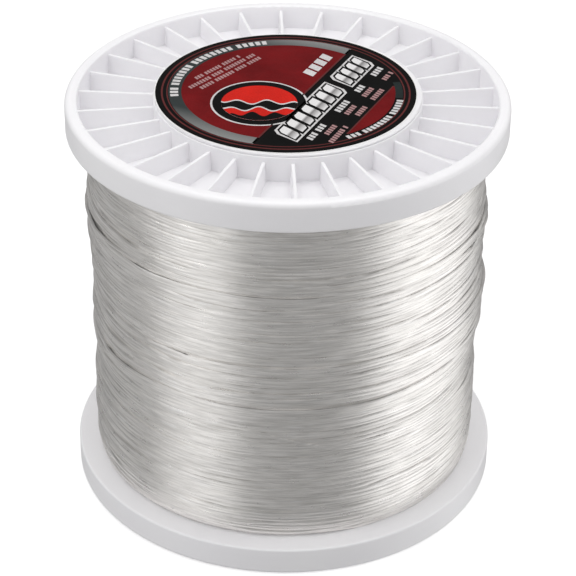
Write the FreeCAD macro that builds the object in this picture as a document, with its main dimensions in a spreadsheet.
import FreeCAD, Part
import math
import os

import Sketcher

# Bulk spool of clear monofilament line, standing on its lower flange.
#
# Frame: millimetres, +Z up along the spool's axis, origin at the middle of the plane that the spool stands on.
# The front, where the printed label is read from, faces -Y.
#
# The two flanges are one moulding used twice, the lower one turned over. Each plugs into the barrel with a
# spigot whose four hooks snap into windows in the barrel's wall. A sleeve runs through both hubs and carries
# the bore that the spool turns on. A cap closes the upper hub and carries the label.

SIZES = [
    # alias, millimetres (or degrees, or a count)
    ("flange_radius", 70.0),
    ("overall_height", 136.0),
    ("rim_height", 9.8),
    ("rim_wall", 3.9),
    ("rim_draft", 0.3),
    ("rim_edge_radius", 1.7),
    ("rim_face_radius", 0.7),
    ("rim_inner_radius", 0.6),
    ("web_thickness", 1.7),
    ("collar_radius", 42.4),
    ("collar_wall", 1.9),
    ("collar_edge_radius", 0.3),
    ("rib_count", 30),
    ("rib_drop", 1.8),
    ("rib_top_width", 1.0),
    ("rib_base_width", 1.8),
    ("rib_edge_radius", 0.25),
    ("spoke_count", 15),
    ("spoke_drop", 3.4),
    ("spoke_width", 1.2),
    ("backing_ring_radius", 32.0),
    ("backing_ring_wall", 1.6),
    ("wall_bite", 0.6),
    ("flange_turn", 8.4),
    ("barrel_radius", 33.0),
    ("barrel_wall", 2.0),
    ("spigot_gap", 0.2),
    ("spigot_wall", 2.0),
    ("spigot_length", 12.0),
    ("hook_count", 4),
    ("hook_width", 8.0),
    ("hook_reach", 1.3),
    ("hook_shoulder", 6.0),
    ("hook_length", 3.5),
    ("slot_width", 1.0),
    ("slot_root", 2.0),
    ("window_gap", 0.3),
    ("bore_radius", 11.0),
    ("sleeve_wall", 1.5),
    ("sleeve_chamfer", 0.4),
    ("sleeve_seat_gap", 0.05),
    ("boss_wall", 1.8),
    ("boss_lip", 1.2),
    ("lip_overhang", 1.0),
    ("cap_radius", 42.0),
    ("cap_thickness", 0.9),
    ("cap_edge_radius", 0.25),
    ("cap_skirt_depth", 3.0),
    ("cap_skirt_wall", 1.0),
    ("cap_skirt_gap", 0.15),
    ("label_radius", 41.25),
    ("label_thickness", 0.15),
    ("label_shift", 0.7),
    ("wound_radius", 63.7),
    ("wound_edge_radius", 2.5),
    ("tape_thickness", 0.12),
    ("start_tape_width", 20.0),
    ("start_tape_height", 12.0),
    ("start_tape_angle", 34.0),
    ("end_tape_height", 15.0),
    ("end_tape_angle", 22.0),
    ("end_tape_drop", 12.0),
    ("end_tape_turn", 84.0),
]

doc = FreeCAD.newDocument("fishing_line_spool")


class Size:
    """A number together with the sheet expression that gives it."""

    def __init__(self, value, text):
        self.value = value
        self.text = text

    def __add__(self, other):
        return Size(self.value + other.value, f"({self.text} + {other.text})")

    def __sub__(self, other):
        return Size(self.value - other.value, f"({self.text} - {other.text})")

    def __neg__(self):
        return Size(-self.value, f"(0 - {self.text})")

    def times(self, factor):
        return Size(self.value * factor, f"({self.text} * {factor})")


def make_sheet():
    """Write the driving sizes to the sheet and return them as Size values by alias."""
    sheet = doc.addObject("Spreadsheet::Sheet", "sizes")
    for row, (alias, value) in enumerate(SIZES, start=1):
        sheet.set(f"A{row}", alias)
        sheet.set(f"B{row}", str(value))
        sheet.setAlias(f"B{row}", alias)
    doc.recompute()
    return {alias: Size(float(sheet.get(alias)), f"sizes.{alias}") for alias, _ in SIZES}


sizes = make_sheet()
NOTHING = Size(0.0, "0")


def origin_part(body, role):
    """One of the body's own origin planes or axes, by its role."""
    return next(item for item in body.Origin.OriginFeatures if item.Role == role)


def new_body(name):
    body = doc.addObject("PartDesign::Body", name)
    body.Label = name
    return body


def outline(body, name, plane, *loops):
    """Sketch closed loops of straight edges, every corner held by two expressions."""
    sketch = body.newObject("Sketcher::SketchObject", name)
    sketch.AttachmentSupport = [(origin_part(body, plane), "")]
    sketch.MapMode = "FlatFace"
    for corners in loops:
        first = sketch.GeometryCount
        count = len(corners)
        points = [FreeCAD.Vector(x.value, y.value, 0) for x, y in corners]
        for start, end in zip(points, points[1:] + points[:1]):
            sketch.addGeometry(Part.LineSegment(start, end), False)
        for i in range(count):
            sketch.addConstraint(Sketcher.Constraint("Coincident", first + i, 2, first + (i + 1) % count, 1))
        for i, corner in enumerate(corners):
            for kind, size in zip(("DistanceX", "DistanceY"), corner):
                index = sketch.addConstraint(Sketcher.Constraint(kind, first + i, 1, size.value))
                sketch.setExpression(f"Constraints[{index}]", size.text)
    return sketch


def box_loop(left, right, low, high):
    return [(left, low), (right, low), (right, high), (left, high)]


def revolve(body, name, sketch, angle=None, cut=False):
    """Turn a sketch on the XZ plane about the body's Z axis, all the way round or through an angle."""
    kind = "PartDesign::Groove" if cut else "PartDesign::Revolution"
    feature = body.newObject(kind, name)
    feature.Profile = sketch
    feature.ReferenceAxis = (sketch, ["V_Axis"])
    feature.Angle = 360.0
    if angle is not None:
        feature.setExpression("Angle", angle.text)
    doc.recompute()
    return feature


def pad_along_x(body, name, sketch, start, length):
    """Pad a sketch on the YZ plane outwards along +X from a distance off the axis."""
    sketch.setExpression("AttachmentOffset.Base.z", start.text)
    feature = body.newObject("PartDesign::Pad", name)
    feature.Profile = sketch
    feature.setExpression("Length", length.text)
    doc.recompute()
    return feature


def cut_along_x(body, name, sketch, start, length):
    """Cut a sketch on the YZ plane outwards along +X; the volume must fall."""
    sketch.setExpression("AttachmentOffset.Base.z", start.text)
    before = body.Shape.Volume
    feature = body.newObject("PartDesign::Pocket", name)
    feature.Profile = sketch
    feature.Reversed = True
    feature.setExpression("Length", length.text)
    doc.recompute()
    if feature.Shape.Volume >= before - 1e-3:
        raise RuntimeError(f"{body.Label}: {name} removed nothing")
    return feature


def ring_of(body, name, features, count):
    """Repeat features round the Z axis."""
    pattern = body.newObject("PartDesign::PolarPattern", name)
    pattern.Originals = features
    pattern.Axis = (origin_part(body, "Z_Axis"), [""])
    pattern.Angle = 360.0
    pattern.setExpression("Occurrences", count.text)
    body.Tip = pattern
    doc.recompute()
    return pattern


def round_edges(body, name, radius, chosen):
    """Round the edges of the body's tip that the test picks out."""
    base = body.Tip
    edges = [f"Edge{i}" for i, edge in enumerate(base.Shape.Edges, start=1) if chosen(edge)]
    if not edges:
        raise RuntimeError(f"{body.Label}: {name} found no edge")
    feature = body.newObject("PartDesign::Fillet", name)
    feature.Base = (base, edges)
    feature.setExpression("Radius", radius.text)
    doc.recompute()
    return feature


def is_circle(edge, radius, height):
    """Whether an edge is the circle about Z of this radius at this height."""
    curve = edge.Curve
    if not isinstance(curve, Part.Circle):
        return False
    at_height = abs(curve.Center.z - height.value) < 1e-4
    on_axis = math.hypot(curve.Center.x, curve.Center.y) < 1e-4
    return on_axis and at_height and abs(curve.Radius - radius.value) < 1e-4


# Heights and radii of the flange moulding, measured in its own frame: the face that holds the line in is z = 0
# and the rim's plane is z = rim_height.
rim_plane = sizes["rim_height"]
web_face = sizes["web_thickness"]
rim_bore = sizes["flange_radius"] - sizes["rim_wall"]
collar_bore = sizes["collar_radius"] - sizes["collar_wall"]
rib_top = rim_plane - sizes["rib_drop"]
spoke_top = rim_plane - sizes["spoke_drop"]
barrel_bore = sizes["barrel_radius"] - sizes["barrel_wall"]
spigot_radius = barrel_bore - sizes["spigot_gap"]
spigot_bore = spigot_radius - sizes["spigot_wall"]
sleeve_radius = sizes["bore_radius"] + sizes["sleeve_wall"]
seat_radius = sleeve_radius + sizes["sleeve_seat_gap"]
boss_radius = seat_radius + sizes["boss_wall"]
lip_radius = seat_radius - sizes["lip_overhang"]
seat_end = rim_plane - sizes["boss_lip"]
wound_length = sizes["overall_height"] - rim_plane.times(2)
upper_face = sizes["overall_height"] - rim_plane


def flange_section(body):
    """The turned shape: web, rim, hub collar, ring behind the barrel, boss for the sleeve, and spigot."""
    ring_radius = sizes["backing_ring_radius"]
    ring_bore = ring_radius - sizes["backing_ring_wall"]
    corners = [
        (seat_radius, NOTHING),
        (spigot_bore, NOTHING),
        (spigot_bore, -sizes["spigot_length"]),
        (spigot_radius, -sizes["spigot_length"]),
        (spigot_radius, NOTHING),
        (sizes["flange_radius"], NOTHING),
        (sizes["flange_radius"], rim_plane),
        (rim_bore, rim_plane),
        (rim_bore - sizes["rim_draft"], web_face),
        (sizes["collar_radius"], web_face),
        (sizes["collar_radius"], rim_plane),
        (collar_bore, rim_plane),
        (collar_bore, web_face),
        (ring_radius, web_face),
        (ring_radius, spoke_top),
        (ring_bore, spoke_top),
        (ring_bore, web_face),
        (boss_radius, web_face),
        (boss_radius, rim_plane),
        (lip_radius, rim_plane),
        (lip_radius, seat_end),
        (seat_radius, seat_end),
    ]
    revolve(body, "section_turned", outline(body, "section", "XZ_Plane", corners))


def add_ribs(body):
    """Thin drafted ribs across the open channel between the hub collar and the rim."""
    half_base = sizes["rib_base_width"].times(0.5)
    half_top = sizes["rib_top_width"].times(0.5)
    root = web_face.times(0.5)
    corners = [(-half_base, root), (half_base, root), (half_top, rib_top), (-half_top, rib_top)]
    start = sizes["collar_radius"] - sizes["wall_bite"]
    reach = rim_bore - sizes["collar_radius"] + sizes["wall_bite"].times(2)
    rib = pad_along_x(body, "rib", outline(body, "rib_section", "YZ_Plane", corners), start, reach)
    ring_of(body, "ribs", [rib], sizes["rib_count"])


def add_spokes(body):
    """Lower ribs inside the hub, from the boss to the collar."""
    half_width = sizes["spoke_width"].times(0.5)
    corners = box_loop(-half_width, half_width, web_face.times(0.5), spoke_top)
    start = boss_radius - sizes["wall_bite"]
    reach = collar_bore - boss_radius + sizes["wall_bite"].times(2)
    spoke = pad_along_x(body, "spoke", outline(body, "spoke_section", "YZ_Plane", corners), start, reach)
    ring_of(body, "spokes", [spoke], sizes["spoke_count"])


def add_hooks(body):
    """Snap hooks on the spigot, each on a tongue freed by two slots."""
    half_hook = sizes["hook_width"].times(0.5)
    slot_far = half_hook + sizes["slot_width"]
    low = -sizes["spigot_length"]
    high = -sizes["slot_root"]
    right_slot = box_loop(half_hook, slot_far, low - sizes["slot_width"], high)
    left_slot = box_loop(-slot_far, -half_hook, low - sizes["slot_width"], high)
    slot_start = spigot_bore - sizes["spigot_wall"]
    slot_reach = sizes["spigot_wall"].times(3)
    slot_sketch = outline(body, "slot_section", "YZ_Plane", right_slot, left_slot)
    slots = cut_along_x(body, "slots", slot_sketch, slot_start, slot_reach)
    ring_of(body, "slot_ring", [slots], sizes["hook_count"])

    shoulder = -sizes["hook_shoulder"]
    tip = shoulder - sizes["hook_length"]
    inside = spigot_radius - sizes["wall_bite"]
    nose = spigot_radius + sizes["hook_reach"]
    corners = [(inside, tip), (spigot_radius, tip), (nose, shoulder), (inside, shoulder)]
    hook = body.newObject("PartDesign::Pad", "hook")
    hook.Profile = outline(body, "hook_section", "XZ_Plane", corners)
    hook.SideType = "Symmetric"
    hook.setExpression("Length", (sizes["hook_width"] - sizes["slot_width"]).text)
    doc.recompute()
    ring_of(body, "hooks", [hook], sizes["hook_count"])


def round_flange(body):
    """Soften the edges that a hand meets."""
    flange_radius = sizes["flange_radius"]
    collar_radius = sizes["collar_radius"]
    edge_radius = sizes["rim_edge_radius"]
    round_edges(body, "rim_outer_edge", edge_radius, lambda edge: is_circle(edge, flange_radius, rim_plane))
    round_edges(body, "rim_lower_edge", sizes["rim_face_radius"],
                lambda edge: is_circle(edge, flange_radius, NOTHING))
    round_edges(body, "rim_inner_edge", sizes["rim_inner_radius"],
                lambda edge: is_circle(edge, rim_bore, rim_plane))
    round_edges(body, "collar_edge", sizes["collar_edge_radius"],
                lambda edge: is_circle(edge, collar_radius, rim_plane))
    round_edges(body, "rib_edges", sizes["rib_edge_radius"], is_rib_top_edge)


def is_rib_top_edge(edge):
    """Whether an edge is one of the two long edges along the top of a rib."""
    if not isinstance(edge.Curve, Part.Line):
        return False
    ends = [vertex.Point for vertex in edge.Vertexes]
    level = all(abs(point.z - rib_top.value) < 1e-4 for point in ends)
    return level and edge.Length > sizes["rib_top_width"].value * 5


def make_flange(name):
    body = new_body(name)
    flange_section(body)
    add_ribs(body)
    add_spokes(body)
    add_hooks(body)
    round_flange(body)
    return body


def place_upper(body):
    """Stand the flange on top of the winding, its rim plane upwards."""
    body.setExpression("Placement.Base.z", upper_face.text)
    body.setExpression("Placement.Rotation.Yaw", sizes["flange_turn"].text)


def place_lower(body):
    """Turn the same moulding over, so that its rim plane is the plane that the spool stands on."""
    body.setExpression("Placement.Base.z", rim_plane.text)
    body.setExpression("Placement.Rotation.Yaw", sizes["flange_turn"].text)
    body.setExpression("Placement.Rotation.Roll", "180")


def make_barrel():
    """The tube that the line is wound on, with a window for each hook at both ends."""
    body = new_body("barrel")
    wall = box_loop(barrel_bore, sizes["barrel_radius"], NOTHING, wound_length)
    revolve(body, "tube", outline(body, "wall", "XZ_Plane", wall))
    half_width = (sizes["hook_width"] - sizes["slot_width"]).times(0.5) + sizes["window_gap"]
    near = sizes["hook_shoulder"] - sizes["window_gap"]
    far = sizes["hook_shoulder"] + sizes["hook_length"]
    low_window = box_loop(-half_width, half_width, near, far)
    high_window = box_loop(-half_width, half_width, wound_length - far, wound_length - near)
    window_sketch = outline(body, "window_section", "YZ_Plane", low_window, high_window)
    start = barrel_bore - sizes["barrel_wall"]
    windows = cut_along_x(body, "windows", window_sketch, start, sizes["barrel_wall"].times(3))
    ring_of(body, "window_ring", [windows], sizes["hook_count"])
    body.setExpression("Placement.Base.z", rim_plane.text)
    body.setExpression("Placement.Rotation.Yaw", sizes["flange_turn"].text)
    return body


def make_arbor_sleeve():
    """The sleeve between the two bosses, whose bore runs on a spindle."""
    body = new_body("arbor_sleeve")
    low = sizes["boss_lip"]
    high = sizes["overall_height"] - sizes["boss_lip"]
    chamfer = sizes["sleeve_chamfer"]
    bore = sizes["bore_radius"]
    corners = [
        (bore, low),
        (sleeve_radius - chamfer, low),
        (sleeve_radius, low + chamfer),
        (sleeve_radius, high - chamfer),
        (sleeve_radius - chamfer, high),
        (bore, high),
    ]
    revolve(body, "sleeve", outline(body, "sleeve_section", "XZ_Plane", corners))
    return body


def make_hub_cap():
    """The disc that closes the upper hub, held by a skirt inside the collar."""
    body = new_body("hub_cap")
    cap_radius = sizes["cap_radius"]
    thickness = sizes["cap_thickness"]
    skirt_radius = collar_bore - sizes["cap_skirt_gap"]
    skirt_bore = skirt_radius - sizes["cap_skirt_wall"]
    corners = [
        (NOTHING, NOTHING),
        (skirt_bore, NOTHING),
        (skirt_bore, -sizes["cap_skirt_depth"]),
        (skirt_radius, -sizes["cap_skirt_depth"]),
        (skirt_radius, NOTHING),
        (cap_radius, NOTHING),
        (cap_radius, thickness),
        (NOTHING, thickness),
    ]
    revolve(body, "cap", outline(body, "cap_section", "XZ_Plane", corners))
    round_edges(body, "cap_edges", sizes["cap_edge_radius"],
                lambda edge: is_circle(edge, cap_radius, thickness) or is_circle(edge, cap_radius, NOTHING))
    body.setExpression("Placement.Base.z", sizes["overall_height"].text)
    return body


def make_top_label():
    """The printed disc stuck on the cap, a little off centre to the left."""
    label = doc.addObject("Part::Cylinder", "top_label")
    label.Label = "top_label"
    label.setExpression("Radius", sizes["label_radius"].text)
    label.setExpression("Height", sizes["label_thickness"].text)
    label.setExpression("Placement.Base.x", (-sizes["label_shift"]).text)
    label.setExpression("Placement.Base.z", (sizes["overall_height"] + sizes["cap_thickness"]).text)
    return label


def start_tape_loop():
    """Section of the tape on the barrel, also the hollow that it leaves in the winding."""
    low = rim_plane + sizes["start_tape_width"]
    high = low + sizes["start_tape_height"]
    outside = sizes["barrel_radius"] + sizes["tape_thickness"]
    return box_loop(sizes["barrel_radius"], outside, low, high)


def make_line_start_tape():
    """The strip of tape that holds the line's first turn to the barrel."""
    body = new_body("line_start_tape")
    section = outline(body, "start_tape_section", "XZ_Plane", start_tape_loop())
    revolve(body, "start_tape", section, sizes["start_tape_angle"])
    return body


def make_line_winding():
    """The whole wound line as one closed ring between the flanges."""
    body = new_body("line_winding")
    wound_radius = sizes["wound_radius"]
    wound = box_loop(sizes["barrel_radius"], wound_radius, rim_plane, upper_face)
    revolve(body, "wound", outline(body, "wound_section", "XZ_Plane", wound))
    round_edges(body, "wound_shoulders", sizes["wound_edge_radius"],
                lambda edge: is_circle(edge, wound_radius, rim_plane) or is_circle(edge, wound_radius, upper_face))
    before = body.Shape.Volume
    section = outline(body, "tape_hollow_section", "XZ_Plane", start_tape_loop())
    revolve(body, "tape_hollow", section, sizes["start_tape_angle"], cut=True)
    if body.Shape.Volume >= before - 1e-3:
        raise RuntimeError("line_winding: tape_hollow removed nothing")
    return body


def make_line_end_tape():
    """The tab of clear tape that holds the line's free end, at the back near the upper flange."""
    body = new_body("line_end_tape")
    inside = sizes["wound_radius"]
    high = upper_face - sizes["end_tape_drop"]
    low = high - sizes["end_tape_height"]
    section = box_loop(inside, inside + sizes["tape_thickness"], low, high)
    revolve(body, "end_tape", outline(body, "end_tape_section", "XZ_Plane", section), sizes["end_tape_angle"])
    body.setExpression("Placement.Rotation.Yaw", sizes["end_tape_turn"].text)
    return body


def make_parts():
    upper_flange = make_flange("upper_flange")
    lower_flange = make_flange("lower_flange")
    place_upper(upper_flange)
    place_lower(lower_flange)
    return [
        upper_flange,
        lower_flange,
        make_barrel(),
        make_arbor_sleeve(),
        make_hub_cap(),
        make_top_label(),
        make_line_winding(),
        make_line_start_tape(),
        make_line_end_tape(),
    ]


def check(parts):
    """Stop if any object of the document failed, or any sub-part has no sound solid."""
    for item in doc.Objects:
        if {"Invalid", "Error"} & set(item.State):
            raise RuntimeError(f"{item.Name} failed: {item.State}")
    for part in parts:
        if part.Shape.isNull() or not part.Shape.isValid() or not part.Shape.Solids:
            raise RuntimeError(f"{part.Label} has no sound solid")


def write(parts):
    os.makedirs("parts", exist_ok=True)
    for part in parts:
        part.Shape.exportStep(f"parts/{part.Label}.step")
        box = part.Shape.BoundBox
        print(f"{part.Label}: {len(part.Shape.Solids)} solid, {part.Shape.Volume:.1f} mm3, "
              f"z {box.ZMin:.2f} to {box.ZMax:.2f}, x {box.XMin:.2f} to {box.XMax:.2f}")


spool_parts = make_parts()
doc.recompute()
check(spool_parts)
write(spool_parts)
